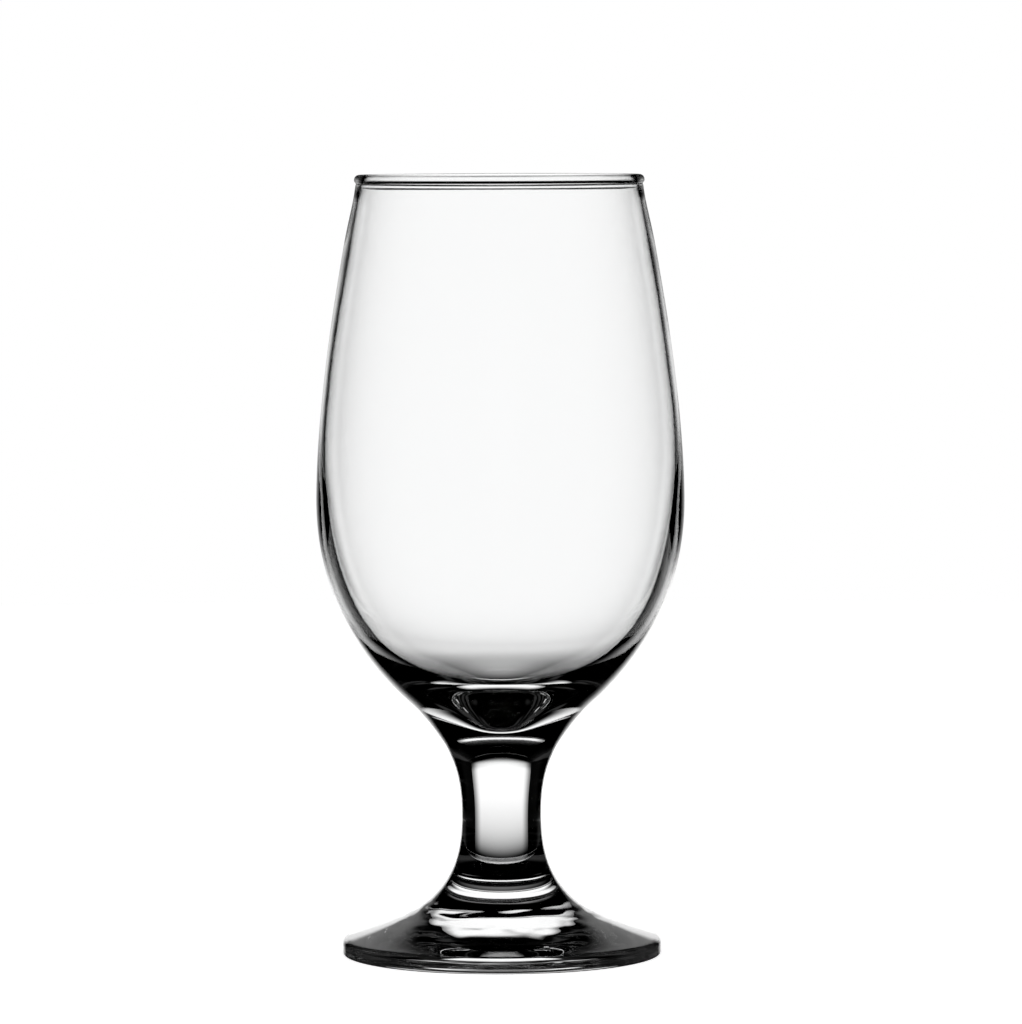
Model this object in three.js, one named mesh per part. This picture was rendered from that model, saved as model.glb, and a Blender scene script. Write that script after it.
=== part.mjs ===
// A footed beer glass in clear glass: a tulip bowl with a beaded rim, a solid waisted stem and a disc foot.
// The three pieces are turned solids that meet face to face at two level fused seams.
// Millimetres and degrees, +Z up. The origin is the middle of the ring that the glass stands on.
import * as THREE from "three";

// Foot, measured from the ground up
const FOOT_RADIUS = 35.8;
const FOOT_EDGE_HEIGHT = 3.7;
const FOOT_EDGE_TOP_ROUND = 1.3;
const FOOT_EDGE_BOTTOM_ROUND = 0.4;
const FOOT_TOP_SLOPE = 14.2;
const FOOT_RISE = 6.3; // from the edge's top up to the seam with the stem
const BEARING_RING_WIDTH = 6.8;
const FOOT_HOLLOW_DEPTH = 0.15;
const FOOT_HOLLOW_SLOPE = 1; // where the hollow meets the ring, below level

// Fused seam between foot and stem
const FOOT_SEAM_RADIUS = 18.8;
const FOOT_SEAM_SLOPE = 35.4; // of the surface, above level

// Stem, measured from the waist
const WAIST_RADIUS = 8.93;
const STEM_BELOW_WAIST = 21.5;
const STEM_ABOVE_WAIST = 14.5;

// Fused seam between stem and bowl
const BOWL_SEAM_RADIUS = 12;
const BOWL_SEAM_SLOPE = 66.2;

// Outside of the bowl: the turn is where its hollow lower curve goes over into the round one
const SEAM_TO_TURN = 10.6;
const TURN_RADIUS = 20.25;
const TURN_SLOPE = 41.2;
const TURN_TO_BELLY = 45.4;
const BELLY_RADIUS = 41.25;
const BELLY_TO_NECK = 70.6;
const NECK_RADIUS = 32.15;
const NECK_LEAN = 11.8; // inwards, from upright

// Inside of the bowl: a shallow floor, a turn where the floor goes over into the side, and the wall
const FLOOR_THICKNESS = 8.08; // above the seam
const CUP_TURN_RADIUS = 15.96;
const CUP_TURN_HEIGHT = 15.6; // above the seam
const CUP_TURN_SLOPE = 21.5;
const BELLY_WALL = 1.94;
const INNER_BELLY_RISE = 7.7; // the inside is widest a little above the outside
const NECK_WALL = 1.25;
const INNER_NECK_LEAN = 10.6;

// Bead melted on the wall's end: a crease sets it off outside, and it stands proud of the wall inside
const BEAD_RADIUS = 1.15;
const BEAD_PROUD = 0.3; // past the neck, outside
const BEAD_LIFT = 1.25; // of the bead's middle above the neck
const BEAD_START = -50; // where the bead leaves the outer wall, from level
const BEAD_END = 230; // where it runs into the inner wall

// Fullness of each curve: the handles at its start and end, as shares of its chord
const HOLLOW_PULLS = [0.3, 0.3];
const FOOT_TOP_PULLS = [0.49, 0.1];
const STEM_LOWER_PULLS = [0.4445, 0.336];
const STEM_UPPER_PULLS = [0.58, 0.17];
const BASE_PULLS = [0.16, 0.307];
const LOWER_PULLS = [0.176, 0.496];
const FLANK_PULLS = [0.15, 0.525];
const INNER_FLANK_PULLS = [0.52, 0.2];
const CUP_SIDE_PULLS = [0.481, 0.26];
const CUP_FLOOR_PULLS = [0.604, 0.286];

// Facets
const SIDES = 60;
const LONG_CURVE_STEPS = 11;
const SHORT_CURVE_STEPS = 8;
const ROUND_STEPS = 3;
const BEAD_STEPS = 10;

const rad = THREE.MathUtils.degToRad;

// Heights that follow from the sizes above
const FOOT_HEIGHT = FOOT_EDGE_HEIGHT + FOOT_RISE;
const STEM_HEIGHT = STEM_BELOW_WAIST + STEM_ABOVE_WAIST;

// A point of a profile: its distance from the axis and its height.
function point(radius, height) {
  return new THREE.Vector2(radius, height);
}

// Points along a smooth curve from one point to another. An end's angle is the way that the curve runs there,
// anticlockwise from straight out.
function sweep(from, fromAngle, to, toAngle, pulls, steps) {
  const chord = from.distanceTo(to);
  const leave = point(Math.cos(rad(fromAngle)), Math.sin(rad(fromAngle)));
  const arrive = point(Math.cos(rad(toAngle)), Math.sin(rad(toAngle)));
  const first = from.clone().addScaledVector(leave, pulls[0] * chord);
  const second = to.clone().addScaledVector(arrive, -pulls[1] * chord);
  return new THREE.CubicBezierCurve(from, first, second, to).getPoints(steps);
}

// Points along a round, between two angles.
function round(center, radius, startAngle, endAngle, steps) {
  const clockwise = endAngle < startAngle;
  const arc = new THREE.EllipseCurve(
    center.x, center.y, radius, radius, rad(startAngle), rad(endAngle), clockwise,
  );
  return arc.getPoints(steps);
}

// Joins stretches of a profile, leaving out a point that repeats the one before it.
function profile(...stretches) {
  const repeat = 1e-4;
  return stretches.flat().filter((p, i, all) => i === 0 || p.distanceTo(all[i - 1]) > repeat);
}

// Clear glass with a faint cool tone.
function clearGlass() {
  return new THREE.MeshStandardMaterial({
    color: 0xf2f6f6,
    roughness: 0.03,
    metalness: 0,
    transparent: true,
    opacity: 0.35,
  });
}

// A named piece turned from a profile that runs from the axis, up the outside and back to the axis.
function turned(name, points) {
  const geometry = new THREE.LatheGeometry(points, SIDES);
  geometry.rotateX(Math.PI / 2);
  const mesh = new THREE.Mesh(geometry, clearGlass());
  mesh.name = name;
  return mesh;
}

// Foot: nearly level underside, flat bearing ring, rounded edge and a top that sweeps up to the seam.
function makeFoot() {
  const ringOut = FOOT_RADIUS - FOOT_EDGE_BOTTOM_ROUND;
  const ringIn = ringOut - BEARING_RING_WIDTH;
  const hollow = sweep(
    point(0, FOOT_HOLLOW_DEPTH), 0, point(ringIn, 0), -FOOT_HOLLOW_SLOPE, HOLLOW_PULLS, SHORT_CURVE_STEPS,
  );
  const lowerRound = round(
    point(ringOut, FOOT_EDGE_BOTTOM_ROUND), FOOT_EDGE_BOTTOM_ROUND, -90, 0, ROUND_STEPS,
  );
  const upperRound = round(
    point(FOOT_RADIUS - FOOT_EDGE_TOP_ROUND, FOOT_EDGE_HEIGHT - FOOT_EDGE_TOP_ROUND),
    FOOT_EDGE_TOP_ROUND, 0, 90 - FOOT_TOP_SLOPE, ROUND_STEPS,
  );
  const top = sweep(
    upperRound.at(-1), 180 - FOOT_TOP_SLOPE,
    point(FOOT_SEAM_RADIUS, FOOT_HEIGHT), 180 - FOOT_SEAM_SLOPE,
    FOOT_TOP_PULLS, SHORT_CURVE_STEPS,
  );
  return turned("foot", profile(hollow, lowerRound, upperRound, top, [point(0, FOOT_HEIGHT)]));
}

// Stem: one solid piece, flared to both seams from its waist.
function makeStem() {
  const waist = point(WAIST_RADIUS, STEM_BELOW_WAIST);
  const below = sweep(
    point(FOOT_SEAM_RADIUS, 0), 180 - FOOT_SEAM_SLOPE, waist, 90, STEM_LOWER_PULLS, LONG_CURVE_STEPS,
  );
  const above = sweep(
    waist, 90, point(BOWL_SEAM_RADIUS, STEM_HEIGHT), BOWL_SEAM_SLOPE, STEM_UPPER_PULLS, SHORT_CURVE_STEPS,
  );
  return turned("stem", profile([point(0, 0)], below, above, [point(0, STEM_HEIGHT)]));
}

// Bowl: solid base, round belly, flank that closes in to the neck, beaded rim and the hollow inside.
function makeBowl() {
  const bellyHeight = SEAM_TO_TURN + TURN_TO_BELLY;
  const neckHeight = bellyHeight + BELLY_TO_NECK;
  const turn = point(TURN_RADIUS, SEAM_TO_TURN);
  const belly = point(BELLY_RADIUS, bellyHeight);
  const neck = point(NECK_RADIUS, neckHeight);
  const base = sweep(
    point(BOWL_SEAM_RADIUS, 0), BOWL_SEAM_SLOPE, turn, TURN_SLOPE, BASE_PULLS, SHORT_CURVE_STEPS,
  );
  const lower = sweep(turn, TURN_SLOPE, belly, 90, LOWER_PULLS, LONG_CURVE_STEPS);
  const flank = sweep(belly, 90, neck, 90 + NECK_LEAN, FLANK_PULLS, LONG_CURVE_STEPS);
  const beadMiddle = point(NECK_RADIUS + BEAD_PROUD - BEAD_RADIUS, neckHeight + BEAD_LIFT);
  const bead = round(beadMiddle, BEAD_RADIUS, BEAD_START, BEAD_END, BEAD_STEPS);
  const innerNeck = point(NECK_RADIUS - NECK_WALL, neckHeight);
  const innerBelly = point(BELLY_RADIUS - BELLY_WALL, bellyHeight + INNER_BELLY_RISE);
  const cupTurn = point(CUP_TURN_RADIUS, CUP_TURN_HEIGHT);
  const floor = point(0, FLOOR_THICKNESS);
  const innerFlank = sweep(
    innerNeck, 270 + INNER_NECK_LEAN, innerBelly, 270, INNER_FLANK_PULLS, LONG_CURVE_STEPS,
  );
  const cupSide = sweep(innerBelly, 270, cupTurn, 180 + CUP_TURN_SLOPE, CUP_SIDE_PULLS, LONG_CURVE_STEPS);
  const cupFloor = sweep(
    cupTurn, 180 + CUP_TURN_SLOPE, floor, 180, CUP_FLOOR_PULLS, SHORT_CURVE_STEPS,
  );
  return turned("bowl", profile([point(0, 0)], base, lower, flank, bead, innerFlank, cupSide, cupFloor));
}

// The glass stands on its foot: each piece sits on the seam below it.
const glass = new THREE.Group();
const foot = makeFoot();
const stem = makeStem();
const bowl = makeBowl();
stem.position.z = FOOT_HEIGHT;
bowl.position.z = FOOT_HEIGHT + STEM_HEIGHT;
glass.add(foot, stem, bowl);

export default glass;
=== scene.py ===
import math

import bmesh
import bpy
import numpy as np
from mathutils import Matrix, Vector, noise


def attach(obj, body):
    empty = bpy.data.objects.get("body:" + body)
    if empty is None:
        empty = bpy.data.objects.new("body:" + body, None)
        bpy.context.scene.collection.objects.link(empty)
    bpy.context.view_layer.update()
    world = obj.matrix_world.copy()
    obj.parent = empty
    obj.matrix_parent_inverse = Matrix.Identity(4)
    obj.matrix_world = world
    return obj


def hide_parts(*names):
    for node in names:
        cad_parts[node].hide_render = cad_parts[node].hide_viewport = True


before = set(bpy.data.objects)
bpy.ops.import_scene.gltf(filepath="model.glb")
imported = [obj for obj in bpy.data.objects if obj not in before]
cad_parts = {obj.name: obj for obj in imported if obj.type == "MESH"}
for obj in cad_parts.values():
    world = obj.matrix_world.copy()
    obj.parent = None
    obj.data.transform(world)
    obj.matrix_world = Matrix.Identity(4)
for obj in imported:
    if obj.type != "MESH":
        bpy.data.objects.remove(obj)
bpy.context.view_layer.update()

MM = 0.001
WHITE = (1.0, 1.0, 1.0, 1.0)

# Mesh of the glass
SIDES = 192
RING_SPACING = 0.9 * MM
FOOT_RING_SPACING = 0.4 * MM
FOOT_REACH = 15 * MM  # rings lie closer below this height, where the foot's waves are
LEAST_STEPS = 2  # between two points of the solids' outline
SAME_PLACE = 1e-6
MIRRORED_POINTS = 3  # carried over the axis, so that the outline crosses it level
LONG_RUN = 3  # a stretch is long when it is this many times its neighbour
SHARP_TURN, LESSER_TURN = math.radians(60), math.radians(20)

# Small waves left by pressing and joining the hot pieces, each kind on one side of the wall, in millimetres
# Low and high are heights, or distances from the axis under the foot. Round and along are lengths of a wave.
RIPPLES = {
    "under": {"side": "under", "low": 1, "high": 28, "depth": 0.03, "round": 4, "along": 4},
    "foot seam": {"side": "outside", "low": 6.5, "high": 13, "depth": 0.14, "round": 5.5, "along": 1.2},
    "base": {"side": "outside", "low": 44, "high": 66, "depth": 0.012, "round": 7, "along": 4},
    "cup": {"side": "inside", "low": 54, "high": 84, "depth": 0.012, "round": 30, "along": 2.5},
    "wall": {"side": "inside", "low": 70, "high": 172, "depth": 0.05, "round": 26, "along": 16},
}
EASE_RATE = 3.0  # how quickly waves grow from the ends of their range
NOISE_APART = 40.0  # between the noise of two kinds of waves

# Glass
GLASS_IOR = 1.515
GLASS_TINT = (0.996, 0.998, 0.998, 1.0)
SMEAR_SCALE = 60.0  # soft wipe marks, per metre
SMEAR_START, SMEAR_END = 0.45, 0.75  # of the noise, where a wipe mark begins and is full
SMEAR_ROUGHNESS = 0.02
SKIN_SCALE = 220.0  # fine waviness of the fire-polished skin, per metre
SKIN_DEPTH = 0.004 * MM

# Camera
CAMERA_PLACE = Vector((2.36 * MM, -1350 * MM, 186.9 * MM))
CAMERA_AIM_HEIGHT = 99.41 * MM
CAMERA_ROLL = math.radians(0.2)
CAMERA_SENSOR = 36
CAMERA_LENS = 212.14
CAMERA_FAR = 30.0

# How light went through the glass, by the number of its reflections or transmissions
STRAIGHT = 0.5  # fewer reflections than this: light ran straight through
OUTSIDE = 0.5  # fewer transmissions than this: light never entered the glass
BOTH_WALLS = 2.5  # more transmissions than this: light crossed both walls of the bowl
BOUNCES = 24

# Lit white panel behind the glass. It runs on below the floor, as its reflection in a polished floor would.
GLOW = 1.135
PANEL_DISTANCE = 248 * MM
PANEL_HALF_WIDTH = 142 * MM
PANEL_FLAT = 0.63  # share of its half width that is fully bright
PANEL_EDGE = 0.236  # brightness left at its edge
PANEL_BOTTOM, PANEL_FULL_ABOVE = -139 * MM, 51 * MM
PANEL_FULL_BELOW, PANEL_TOP = 130 * MM, 200 * MM
PANEL_RAISED_FULL_BELOW, PANEL_RAISED_TOP = 190 * MM, 250 * MM  # as seen straight through the bowl
PANEL_RIM_START, PANEL_RIM_END = 290 * MM, 330 * MM  # a part above, as seen through one wall, such as the rim
PANEL_END = 700 * MM

# The panel's brightness as mirrored in the glass's outer skin: weaker high up and stronger low down
SHINE_HIGH, SHINE_HIGH_ABOVE = 0.4, 70 * MM
SHINE_LOW, SHINE_LOW_BELOW = 1.4, 45 * MM

# Dim light from beside and below, which keeps the solid parts from being black
# Azimuths of the set are from straight behind the glass, and its heights are angles above level
FILL = 0.03
FILL_AZIMUTH_START, FILL_AZIMUTH_END = math.radians(50), math.radians(70)
FILL_TOP_START, FILL_TOP_END = math.radians(-4), math.radians(-12)
FILL_BOTTOM_START, FILL_BOTTOM_END = math.radians(-45), math.radians(-30)

# Open white set beside, in front and steeply below, seen only by light that runs straight through the glass
ASIDE_START, ASIDE_END = math.radians(40), math.radians(50)
FRONT_START, FRONT_END = math.radians(100), math.radians(115)
LEVEL_START, LEVEL_END = math.radians(-6), math.radians(-2)
HIGH_START, HIGH_END = math.radians(15), math.radians(30)
BELOW_START, BELOW_END = math.radians(-63), math.radians(-76)

# Floor
FLOOR_RADIUS = 1.0
FLOOR_COLOUR = (0.85, 0.85, 0.85, 1.0)
FLOOR_WHITE = 0.80  # the floor's own whiteness, to which the lamp adds

# Floor as light straight through the bowl sees it, by distance from the axis and by azimuth, with painted
# shade near the glass
FLOOR_SHOWN_START, FLOOR_SHOWN_END = 40 * MM, 60 * MM
# Painted shade: the floor's glow is dimmer near the glass and brightens towards the panel
FLOOR_DIM_START, FLOOR_DIM_END = 50 * MM, 200 * MM  # between the glass and the panel
FLOOR_DIM_LOW, FLOOR_DIM_HIGH = 0.08, 0.8  # its brightness at these two distances
FLOOR_ASIDE_START, FLOOR_ASIDE_END = math.radians(22), math.radians(34)  # from here on it is white

# Card round the glass, level with the lower part of the bowl, that glows white on its upper side: painted
# light that only the glass sees
CARD_HEIGHT = 65 * MM
CARD_INNER_RADIUS = 55 * MM
CARD_OUTER_RADIUS = 3.0
SET_SIDES = 96  # of the card and the floor

# Lamp
LAMP_HEIGHT = 1.6
LAMP_SIZE = 1.6
LAMP_POWER = 12.0


def profile_of(node):
    """A solid's outline as (radius, height) points, from the axis below round the outside to the axis."""
    solid = bmesh.new()
    solid.from_mesh(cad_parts[node].data)
    bmesh.ops.remove_doubles(solid, verts=solid.verts, dist=SAME_PLACE)
    cut = {v for v in solid.verts if abs(v.co.y) < SAME_PLACE and v.co.x > -SAME_PLACE}
    on_axis = [v for v in cut if v.co.x < SAME_PLACE]
    here = min(on_axis, key=lambda v: v.co.z)
    chain = []
    while here is not None:
        chain.append(here)
        beside = [e.other_vert(here) for e in here.link_edges]
        here = next((v for v in beside if v in cut and v not in chain), None)
    outline = np.array([(max(v.co.x, 0), v.co.z) for v in chain])
    solid.free()
    return outline


def corners_of(points):
    """The outline's creases: sharp turns, and lesser ones where a long stretch meets a short one."""
    steps = np.diff(points, axis=0)
    length = np.linalg.norm(steps, axis=1)
    way = np.unwrap(np.arctan2(steps[:, 1], steps[:, 0]))
    corners = []
    for i in range(1, len(points) - 1):
        turn = abs(way[i] - way[i - 1])
        longer, shorter = max(length[i - 1:i + 1]), min(length[i - 1:i + 1])
        if turn > SHARP_TURN or (turn > LESSER_TURN and longer > LONG_RUN * shorter):
            corners.append(i)
    return corners


def pinned(points):
    """The points, with one more near each end of a long stretch, so that a curve through them stays on it.

    Also where the given points are in the new ones."""
    length = np.linalg.norm(np.diff(points, axis=0), axis=1)
    pinned_points = []
    places = []
    for i, point in enumerate(points):
        places.append(len(pinned_points))
        pinned_points.append(point)
        if i == len(length):
            break
        along = (points[i + 1] - point) / length[i]
        if i > 0 and length[i] > LONG_RUN * length[i - 1]:
            pinned_points.append(point + along * length[i - 1])
        if i + 1 < len(length) and length[i] > LONG_RUN * length[i + 1]:
            pinned_points.append(points[i + 1] - along * length[i + 1])
    return np.array(pinned_points), places


def curve_through(points):
    """A smooth curve through points: a function of a stretch's number and the share along it."""
    knots = np.concatenate([[0], np.cumsum(np.linalg.norm(np.diff(points, axis=0), axis=1))])
    gap = np.diff(knots)
    slope = np.diff(points, axis=0) / gap[:, None]
    count = len(points)
    system = np.eye(count)
    bend = np.zeros((count, 2))
    for i in range(1, count - 1):
        system[i, i - 1:i + 2] = gap[i - 1], 2 * (gap[i - 1] + gap[i]), gap[i]
        bend[i] = 6 * (slope[i] - slope[i - 1])
    bend = np.linalg.solve(system, bend)

    def at(i, share):
        a, b = 1 - share, share
        lift = (a**3 - a) * bend[i] + (b**3 - b) * bend[i + 1]
        return a * points[i] + b * points[i + 1] + lift * gap[i] ** 2 / 6

    return at


def smooth_outline(points, marks):
    """Points close together along smooth curves from crease to crease, and where the marked points are."""
    flip = np.array([-1, 1])
    lead = points[1:MIRRORED_POINTS + 1][::-1] * flip
    tail = points[-MIRRORED_POINTS - 1:-1][::-1] * flip
    crossed = np.concatenate([lead, points, tail])
    marked = [MIRRORED_POINTS + mark for mark in marks]
    start, end = MIRRORED_POINTS, MIRRORED_POINTS + len(points) - 1
    corners = [0, *corners_of(crossed), len(crossed) - 1]
    whole, places = pinned(crossed)
    smooth, found = [], {}
    for first, last in zip(corners, corners[1:]):
        stretch = whole[places[first]:places[last] + 1]
        curve = curve_through(stretch)
        for i in range(len(stretch) - 1):
            place = places[first] + i
            if place in places:
                found[places.index(place)] = len(smooth)
            spacing = FOOT_RING_SPACING if stretch[i][1] < FOOT_REACH else RING_SPACING
            steps = max(LEAST_STEPS, math.ceil(np.linalg.norm(stretch[i + 1] - stretch[i]) / spacing))
            smooth += [curve(i, step / steps) for step in range(steps)]
    smooth = np.maximum(np.array(smooth[found[start]:found[end] + 1]), 0)
    return smooth, [found[mark] - found[start] for mark in marked]


def turned(outline):
    """Places and outward directions of an outline turned about the axis, by row and side."""
    angle = np.linspace(0, 2 * math.pi, SIDES, endpoint=False)
    radius, height = outline[:, 0, None], outline[:, 1, None]
    places = np.stack(
        [radius * np.cos(angle), radius * np.sin(angle), np.repeat(height, SIDES, axis=1)], axis=-1
    )
    return places, outward(places)


def outward(places):
    """The outward direction at each place, from its neighbours along and round the turned shape."""
    along = np.gradient(places, axis=0)
    across = np.roll(places, -1, axis=1) - np.roll(places, 1, axis=1)
    direction = np.cross(across, along)
    direction[0] = 0, 0, -1
    direction[-1] = 0, 0, 1
    return direction / np.linalg.norm(direction, axis=-1, keepdims=True)


def ease(share):
    """0 to 1, with a soft start and end."""
    share = min(max(share, 0), 1)
    return share * share * (3 - 2 * share)


def add_ripples(outline, places, directions):
    """Moves the glass's skin in and out by small waves, each kind in its range on one side of the wall."""
    ground = int(np.argmin(outline[:, 1]))
    rim = int(np.argmax(outline[:, 1]))
    stretches = {"under": range(ground), "outside": range(ground, rim), "inside": range(rim, len(outline))}
    for kind, ripple in enumerate(RIPPLES.values()):
        length = np.array([ripple["round"], ripple["round"], ripple["along"]])
        apart = np.array([0, 0, NOISE_APART * kind])
        for row in stretches[ripple["side"]]:
            radius, height = outline[row] / MM
            place = radius if ripple["side"] == "under" else height
            share = (place - ripple["low"]) / (ripple["high"] - ripple["low"])
            depth = ripple["depth"] * MM * ease(EASE_RATE * share) * ease(EASE_RATE * (1 - share))
            if depth == 0:
                continue
            for side in range(SIDES):
                spot = Vector(places[row, side] / MM / length + apart)
                places[row, side] += directions[row, side] * depth * noise.noise(spot)


def wall_faces(rows):
    """Faces between each row of a turned shape and the next."""
    side = np.arange(SIDES)
    after = (side + 1) % SIDES
    faces = []
    for row in range(rows - 1):
        low, high = row * SIDES, (row + 1) * SIDES
        faces += np.stack([low + side, low + after, high + after, high + side], axis=1).tolist()
    return faces


def cap_faces(start, center, upwards):
    """Faces from a row, which starts at one point's number, to the point in its middle."""
    side = start + np.arange(SIDES)
    after = np.roll(side, -1)
    middle = np.full(SIDES, center)
    corners = [side, after, middle] if upwards else [middle, after, side]
    return np.stack(corners, axis=1).tolist()


def set_directions(mesh, directions, seams):
    """Gives each corner its outward direction. A seam's faces are level and have the second material."""
    corner_directions = [directions[loop.vertex_index] for loop in mesh.loops]
    for faces, level in seams:
        for polygon in mesh.polygons[faces]:
            polygon.material_index = 1
            for loop in polygon.loop_indices:
                corner_directions[loop] = level
    mesh.normals_split_custom_set(corner_directions)


def make_piece(name, places, directions, low_seam, high_seam, materials):
    """A closed piece from rows of places. Where an end is no seam, its row on the axis is a single point."""
    down, up = [0, 0, -1], [0, 0, 1]
    rows = slice(0 if low_seam else 1, len(places) if high_seam else -1)
    body = places[rows]
    verts = body.reshape(-1, 3).tolist()
    walls = wall_faces(len(body))
    low_cap = cap_faces(0, len(verts), upwards=False)
    high_cap = cap_faces(len(verts) - SIDES, len(verts) + 1, upwards=True)
    middles = [[0, 0, places[end][0][2]] for end in (0, -1)]
    mesh = bpy.data.meshes.new(name)
    mesh.from_pydata(verts + middles, [], walls + low_cap + high_cap)
    mesh.shade_smooth()
    for material in materials:
        mesh.materials.append(material)
    caps_start, high_start = len(walls), len(walls) + SIDES
    seams = []
    if low_seam:
        seams.append((slice(caps_start, high_start), down))
    if high_seam:
        seams.append((slice(high_start, high_start + SIDES), up))
    set_directions(mesh, directions[rows].reshape(-1, 3).tolist() + [down, up], seams)
    piece = bpy.data.objects.new(name, mesh)
    bpy.context.scene.collection.objects.link(piece)
    return piece


def connect(tree, value, socket):
    """Links a node's output to a socket, or writes a plain value on it."""
    if isinstance(value, bpy.types.NodeSocket):
        tree.links.new(value, socket)
    else:
        socket.default_value = value


def math_node(tree, operation, *values):
    """A Math node's output."""
    node = tree.nodes.new("ShaderNodeMath")
    node.operation = operation
    for socket, value in zip(node.inputs, values):
        connect(tree, value, socket)
    return node.outputs["Value"]


def product(tree, *values):
    """All values multiplied."""
    total = values[0]
    for value in values[1:]:
        total = math_node(tree, "MULTIPLY", total, value)
    return total


def largest(tree, *values):
    """The largest of the values."""
    most = values[0]
    for value in values[1:]:
        most = math_node(tree, "MAXIMUM", most, value)
    return most


def soft_step(tree, value, start, end, low=0.0, high=1.0):
    """Goes softly from low to high while value goes from start to end."""
    node = tree.nodes.new("ShaderNodeMapRange")
    node.interpolation_type = "SMOOTHSTEP"
    connect(tree, value, node.inputs["Value"])
    node.inputs["From Min"].default_value = start
    node.inputs["From Max"].default_value = end
    node.inputs["To Min"].default_value = low
    node.inputs["To Max"].default_value = high
    return node.outputs["Result"]


def azimuth_of(tree, split):
    """The angle from straight behind the glass, 0 to half a turn on both sides."""
    return math_node(tree, "ABSOLUTE", math_node(tree, "ARCTAN2", split.outputs["X"], split.outputs["Y"]))


def reach_of(tree, split):
    """The distance from the axis."""
    x, y = split.outputs["X"], split.outputs["Y"]
    squares = math_node(tree, "ADD", product(tree, x, x), product(tree, y, y))
    return math_node(tree, "SQRT", squares)


def place_on_surface(tree):
    """A Geometry node, and the place on the surface split into X, Y and Z."""
    geometry = tree.nodes.new("ShaderNodeNewGeometry")
    split = tree.nodes.new("ShaderNodeSeparateXYZ")
    tree.links.new(geometry.outputs["Position"], split.inputs["Vector"])
    return geometry, split


def straight_through(tree, path):
    """1 for light that met no reflection, and else 0."""
    return math_node(tree, "LESS_THAN", path.outputs["Glossy Depth"], STRAIGHT)


def through_the_bowl(tree, path):
    """1 for light that crossed both walls of the bowl without a reflection, and else 0."""
    crossed = math_node(tree, "GREATER_THAN", path.outputs["Transmission Depth"], BOTH_WALLS)
    return product(tree, crossed, straight_through(tree, path))


def through_one_wall(tree, path):
    """1 for light that crossed a single wall without a reflection, and else 0."""
    entered = math_node(tree, "GREATER_THAN", path.outputs["Transmission Depth"], OUTSIDE)
    not_both = math_node(tree, "LESS_THAN", path.outputs["Transmission Depth"], BOTH_WALLS)
    return product(tree, entered, not_both, straight_through(tree, path))


def bare_material(name):
    """A material without a shader, and its nodes."""
    material = bpy.data.materials.new(name)
    material.use_nodes = True
    tree = material.node_tree
    tree.nodes.remove(tree.nodes["Principled BSDF"])
    return material, tree


def set_surface(tree, shader):
    """Makes a shader the material's surface."""
    tree.links.new(shader, tree.nodes["Material Output"].inputs["Surface"])


def clear(tree):
    """A shader that lets light through as it is."""
    return tree.nodes.new("ShaderNodeBsdfTransparent").outputs["BSDF"]


def glowing(tree, strength):
    """A white light of some strength."""
    white = tree.nodes.new("ShaderNodeEmission")
    connect(tree, strength, white.inputs["Strength"])
    return white.outputs["Emission"]


def mixed(tree, share, first, second):
    """The first shader where share is 0, and the second where it is 1."""
    mix = tree.nodes.new("ShaderNodeMixShader")
    for socket, value in zip(mix.inputs, (share, first, second)):
        tree.links.new(value, socket)
    return mix.outputs["Shader"]


def clear_glass():
    """Clear glass with faint wipe marks and the slight waviness of a fire-polished skin."""
    material = bpy.data.materials.new("clear_glass")
    material.use_nodes = True
    tree = material.node_tree
    shader = tree.nodes["Principled BSDF"]
    shader.inputs["Base Color"].default_value = GLASS_TINT
    shader.inputs["IOR"].default_value = GLASS_IOR
    shader.inputs["Transmission Weight"].default_value = 1.0
    place = tree.nodes.new("ShaderNodeTexCoord").outputs["Object"]
    smear = tree.nodes.new("ShaderNodeTexNoise")
    smear.inputs["Scale"].default_value = SMEAR_SCALE
    tree.links.new(place, smear.inputs["Vector"])
    roughness = soft_step(tree, smear.outputs["Fac"], SMEAR_START, SMEAR_END, 0.0, SMEAR_ROUGHNESS)
    tree.links.new(roughness, shader.inputs["Roughness"])
    skin = tree.nodes.new("ShaderNodeTexNoise")
    skin.inputs["Scale"].default_value = SKIN_SCALE
    tree.links.new(place, skin.inputs["Vector"])
    bump = tree.nodes.new("ShaderNodeBump")
    bump.inputs["Strength"].default_value = 1.0
    bump.inputs["Distance"].default_value = SKIN_DEPTH
    tree.links.new(skin.outputs["Fac"], bump.inputs["Height"])
    tree.links.new(bump.outputs["Normal"], shader.inputs["Normal"])
    return material


def fused_seam():
    """The level face inside a fused seam, where glass meets glass and nothing shows."""
    material, tree = bare_material("fused_seam")
    set_surface(tree, clear(tree))
    return material


def make_glass():
    """The three glass pieces, cut at their fused seams from one smooth outline."""
    foot, stem, bowl = (profile_of(node) for node in ("foot", "stem", "bowl"))
    # A piece's point on the axis inside a seam is left out, and the seam's edge is kept once
    whole = np.concatenate([foot[:-1], stem[2:-1], bowl[2:]])
    foot_seam = len(foot) - 2
    bowl_seam = foot_seam + len(stem) - 3
    outline, (foot_row, bowl_row) = smooth_outline(whole, [foot_seam, bowl_seam])
    places, directions = turned(outline)
    add_ripples(outline, places, directions)
    directions = outward(places)
    materials = [clear_glass(), fused_seam()]
    rows = {
        "foot": (0, foot_row, False, True),
        "stem": (foot_row, bowl_row, True, True),
        "bowl": (bowl_row, len(outline) - 1, True, False),
    }
    for node, (first, last, low_seam, high_seam) in rows.items():
        part = slice(first, last + 1)
        piece = make_piece(node + "_glass", places[part], directions[part], low_seam, high_seam, materials)
        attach(piece, "root")
        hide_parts(node)


def dim_fill(tree, azimuth, height):
    """The dim light from beside and below."""
    return product(
        tree, FILL,
        soft_step(tree, azimuth, FILL_AZIMUTH_START, FILL_AZIMUTH_END),
        soft_step(tree, height, FILL_TOP_START, FILL_TOP_END),
        soft_step(tree, height, FILL_BOTTOM_START, FILL_BOTTOM_END),
    )


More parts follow.
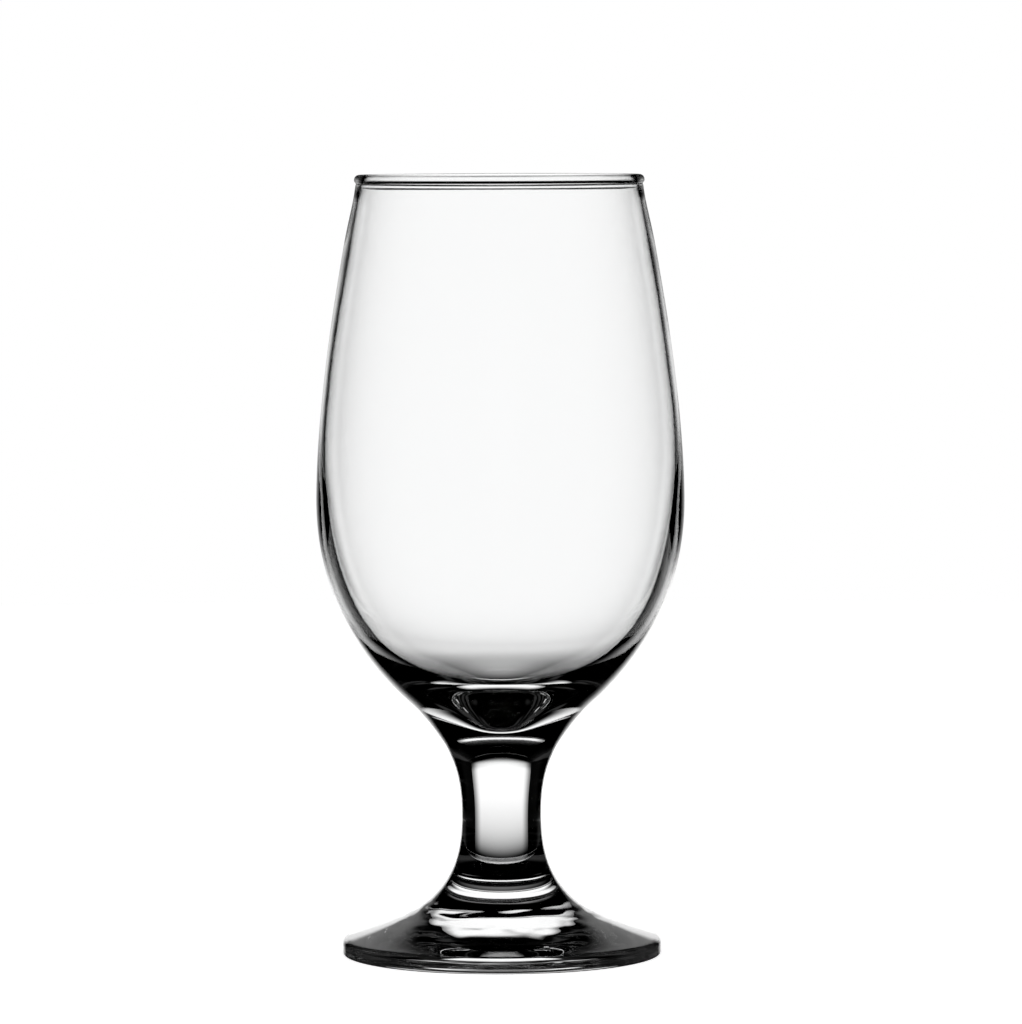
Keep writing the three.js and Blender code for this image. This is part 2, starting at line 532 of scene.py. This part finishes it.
def open_set(tree, path, azimuth, height):
    """The white set that light meets straight through the glass. Beside, it is for light through the bowl."""
    beside = product(
        tree,
        through_the_bowl(tree, path),
        soft_step(tree, azimuth, ASIDE_START, ASIDE_END),
        soft_step(tree, height, LEVEL_START, LEVEL_END),
    )
    in_front = soft_step(tree, azimuth, FRONT_START, FRONT_END)
    around = product(tree, largest(tree, beside, in_front), soft_step(tree, height, HIGH_END, HIGH_START))
    below = soft_step(tree, height, BELOW_START, BELOW_END)
    return product(tree, GLOW, largest(tree, around, below), straight_through(tree, path))


def make_world():
    """White to the camera. The glass sees a dim set, or straight through it an open white one."""
    world = bpy.data.worlds.new("studio")
    bpy.context.scene.world = world
    world.use_nodes = True
    tree = world.node_tree
    split = tree.nodes.new("ShaderNodeSeparateXYZ")
    tree.links.new(tree.nodes.new("ShaderNodeTexCoord").outputs["Generated"], split.inputs["Vector"])
    azimuth = azimuth_of(tree, split)
    height = math_node(tree, "ARCSINE", split.outputs["Z"])
    path = tree.nodes.new("ShaderNodeLightPath")
    seen = largest(tree, open_set(tree, path, azimuth, height), dim_fill(tree, azimuth, height))
    background = tree.nodes["Background"]
    background.inputs["Color"].default_value = WHITE
    pick = tree.nodes.new("ShaderNodeMix")
    tree.links.new(path.outputs["Is Camera Ray"], pick.inputs["Factor"])
    tree.links.new(seen, pick.inputs["A"])
    pick.inputs["B"].default_value = 1.0
    tree.links.new(pick.outputs["Result"], background.inputs["Strength"])


def floor_to_glass(tree, path):
    """The floor as glass sees it: clear, but glowing white straight through the bowl, with painted shade that
    dims it near the glass, before the panel.
    """
    _, split = place_on_surface(tree)
    reach = reach_of(tree, split)
    aside = soft_step(tree, azimuth_of(tree, split), FLOOR_ASIDE_START, FLOOR_ASIDE_END)
    # Painted shade: the floor glows dimmer near the glass, as if the glass shaded it
    painted_shade_near_glass = soft_step(tree, reach, FLOOR_DIM_START, FLOOR_DIM_END, FLOOR_DIM_LOW, FLOOR_DIM_HIGH)
    white = glowing(tree, product(tree, GLOW, largest(tree, aside, painted_shade_near_glass)))
    clear_of_foot = soft_step(tree, reach, FLOOR_SHOWN_START, FLOOR_SHOWN_END)
    return mixed(tree, product(tree, through_the_bowl(tree, path), clear_of_foot), clear(tree), white)


def floor_material():
    """Pale floor: to the camera it is white with the glass's shadow."""
    material, tree = bare_material("pale_floor")
    path = tree.nodes.new("ShaderNodeLightPath")
    lit = tree.nodes.new("ShaderNodeBsdfDiffuse")
    lit.inputs["Color"].default_value = FLOOR_COLOUR
    to_camera = tree.nodes.new("ShaderNodeAddShader")
    tree.links.new(lit.outputs["BSDF"], to_camera.inputs[0])
    white = glowing(tree, product(tree, path.outputs["Is Camera Ray"], FLOOR_WHITE))
    tree.links.new(white, to_camera.inputs[1])
    by_glass = largest(tree, path.outputs["Is Glossy Ray"], path.outputs["Is Transmission Ray"])
    set_surface(tree, mixed(tree, by_glass, to_camera.outputs["Shader"], floor_to_glass(tree, path)))
    return material


def one_sided(tree, geometry, strength):
    """A white light of some strength on the front side, and clear from behind."""
    return mixed(tree, geometry.outputs["Backfacing"], glowing(tree, strength), clear(tree))


def panel_reach(tree, path, height):
    """How far up the panel is lit: higher straight through the bowl, with a part above through one wall."""
    plain = soft_step(tree, height, PANEL_TOP, PANEL_FULL_BELOW)
    raised = soft_step(tree, height, PANEL_RAISED_TOP, PANEL_RAISED_FULL_BELOW)
    above = soft_step(tree, height, PANEL_RIM_START, PANEL_RIM_END)
    return largest(
        tree,
        plain,
        product(tree, through_the_bowl(tree, path), raised),
        product(tree, through_one_wall(tree, path), above),
    )


def panel_shine(tree, path, height):
    """1, but for light that the glass's outer skin mirrors: weaker high up and stronger low down."""
    mirrored = math_node(tree, "LESS_THAN", path.outputs["Transmission Depth"], OUTSIDE)
    change = soft_step(tree, height, SHINE_HIGH_ABOVE, SHINE_LOW_BELOW, SHINE_HIGH - 1, SHINE_LOW - 1)
    return math_node(tree, "MULTIPLY_ADD", mirrored, change, 1.0)


def panel_material():
    """A lit panel that fades to its sides, upwards and downwards."""
    material, tree = bare_material("white_panel")
    geometry, split = place_on_surface(tree)
    across = math_node(tree, "DIVIDE", math_node(tree, "ABSOLUTE", split.outputs["X"]), PANEL_HALF_WIDTH)
    height = split.outputs["Z"]
    path = tree.nodes.new("ShaderNodeLightPath")
    strength = product(
        tree, GLOW,
        soft_step(tree, across, PANEL_FLAT, 1.0, 1.0, PANEL_EDGE),
        soft_step(tree, height, PANEL_BOTTOM, PANEL_FULL_ABOVE),
        panel_reach(tree, path, height),
        panel_shine(tree, path, height),
    )
    set_surface(tree, one_sided(tree, geometry, strength))
    return material


def card_material():
    """Painted light: glows white on top for light straight through one wall, and beside the panel also
    through the whole bowl.
    """
    material, tree = bare_material("glowing_card")
    geometry, split = place_on_surface(tree)
    path = tree.nodes.new("ShaderNodeLightPath")
    aside = soft_step(tree, azimuth_of(tree, split), ASIDE_START, ASIDE_END)
    shown = largest(tree, through_one_wall(tree, path), product(tree, straight_through(tree, path), aside))
    set_surface(tree, mixed(tree, shown, clear(tree), one_sided(tree, geometry, GLOW)))
    return material


def make_stage_piece(name, mesh, material):
    """A piece of the set."""
    mesh.materials.append(material)
    piece = bpy.data.objects.new(name, mesh)
    bpy.context.scene.collection.objects.link(piece)
    return piece


def make_floor():
    """A round floor under the glass."""
    disc = bmesh.new()
    bmesh.ops.create_circle(disc, cap_ends=True, radius=FLOOR_RADIUS, segments=SET_SIDES)
    mesh = bpy.data.meshes.new("floor")
    disc.to_mesh(mesh)
    disc.free()
    make_stage_piece("floor", mesh, floor_material())


def only_for_glass(piece):
    """Hides a piece of the set from the camera and keeps it from lighting or shading the floor."""
    piece.visible_camera = False
    piece.visible_diffuse = False
    piece.visible_shadow = False


def make_panel():
    """The lit panel, upright behind the glass and facing it."""
    corners = [
        (-PANEL_HALF_WIDTH, PANEL_DISTANCE, PANEL_BOTTOM),
        (PANEL_HALF_WIDTH, PANEL_DISTANCE, PANEL_BOTTOM),
        (PANEL_HALF_WIDTH, PANEL_DISTANCE, PANEL_END),
        (-PANEL_HALF_WIDTH, PANEL_DISTANCE, PANEL_END),
    ]
    mesh = bpy.data.meshes.new("white_panel")
    mesh.from_pydata(corners, [], [(0, 1, 2, 3)])
    only_for_glass(make_stage_piece("white_panel", mesh, panel_material()))


def make_card():
    """A ring of card round the glass that glows white, as painted light. The glass sees it, but doesn't
    mirror it.
    """
    angle = np.linspace(0, 2 * math.pi, SET_SIDES, endpoint=False)
    circle = np.stack([np.cos(angle), np.sin(angle)], axis=1)
    rings = np.concatenate([CARD_INNER_RADIUS * circle, CARD_OUTER_RADIUS * circle])
    verts = [(x, y, CARD_HEIGHT) for x, y in rings.tolist()]
    side = np.arange(SET_SIDES)
    after = (side + 1) % SET_SIDES
    faces = np.stack([side, SET_SIDES + side, SET_SIDES + after, after], axis=1).tolist()
    mesh = bpy.data.meshes.new("glowing_card")
    mesh.from_pydata(verts, [], faces)
    card = make_stage_piece("glowing_card", mesh, card_material())
    card.visible_glossy = False
    only_for_glass(card)


def make_lamp():
    """One large soft lamp overhead, which casts the glass's shadow and stays out of its reflections."""
    light = bpy.data.lights.new("overhead", "AREA")
    light.size = LAMP_SIZE
    light.energy = LAMP_POWER
    lamp = bpy.data.objects.new("overhead", light)
    lamp.location = 0, 0, LAMP_HEIGHT
    lamp.visible_camera = False
    lamp.visible_glossy = False
    lamp.visible_transmission = False
    bpy.context.scene.collection.objects.link(lamp)


def make_camera():
    """The photograph's camera: a little above the rim, looking slightly down, with a slight roll."""
    camera = bpy.data.objects.new("camera", bpy.data.cameras.new("camera"))
    bpy.context.scene.collection.objects.link(camera)
    aim = Vector((CAMERA_PLACE.x, 0, CAMERA_AIM_HEIGHT))
    ahead = (aim - CAMERA_PLACE).normalized()
    right = Vector((1, 0, 0))
    up = right.cross(ahead)
    turn = Matrix((right, up, -ahead)).transposed().to_4x4()
    camera.matrix_world = Matrix.Translation(CAMERA_PLACE) @ turn @ Matrix.Rotation(-CAMERA_ROLL, 4, "Z")
    camera.data.lens = CAMERA_LENS
    camera.data.sensor_width = CAMERA_SENSOR
    camera.data.clip_end = CAMERA_FAR
    bpy.context.scene.camera = camera


def set_light_paths():
    """Enough bounces for light that runs far inside thick glass."""
    cycles = bpy.context.scene.cycles
    cycles.max_bounces = BOUNCES
    cycles.glossy_bounces = BOUNCES
    cycles.transmission_bounces = BOUNCES
    cycles.transparent_max_bounces = BOUNCES
    cycles.sample_clamp_indirect = 0
    cycles.blur_glossy = 0


bpy.context.scene.view_settings.view_transform = "Standard"
make_glass()
make_world()
make_floor()
make_panel()
make_card()
make_lamp()
make_camera()
set_light_paths()
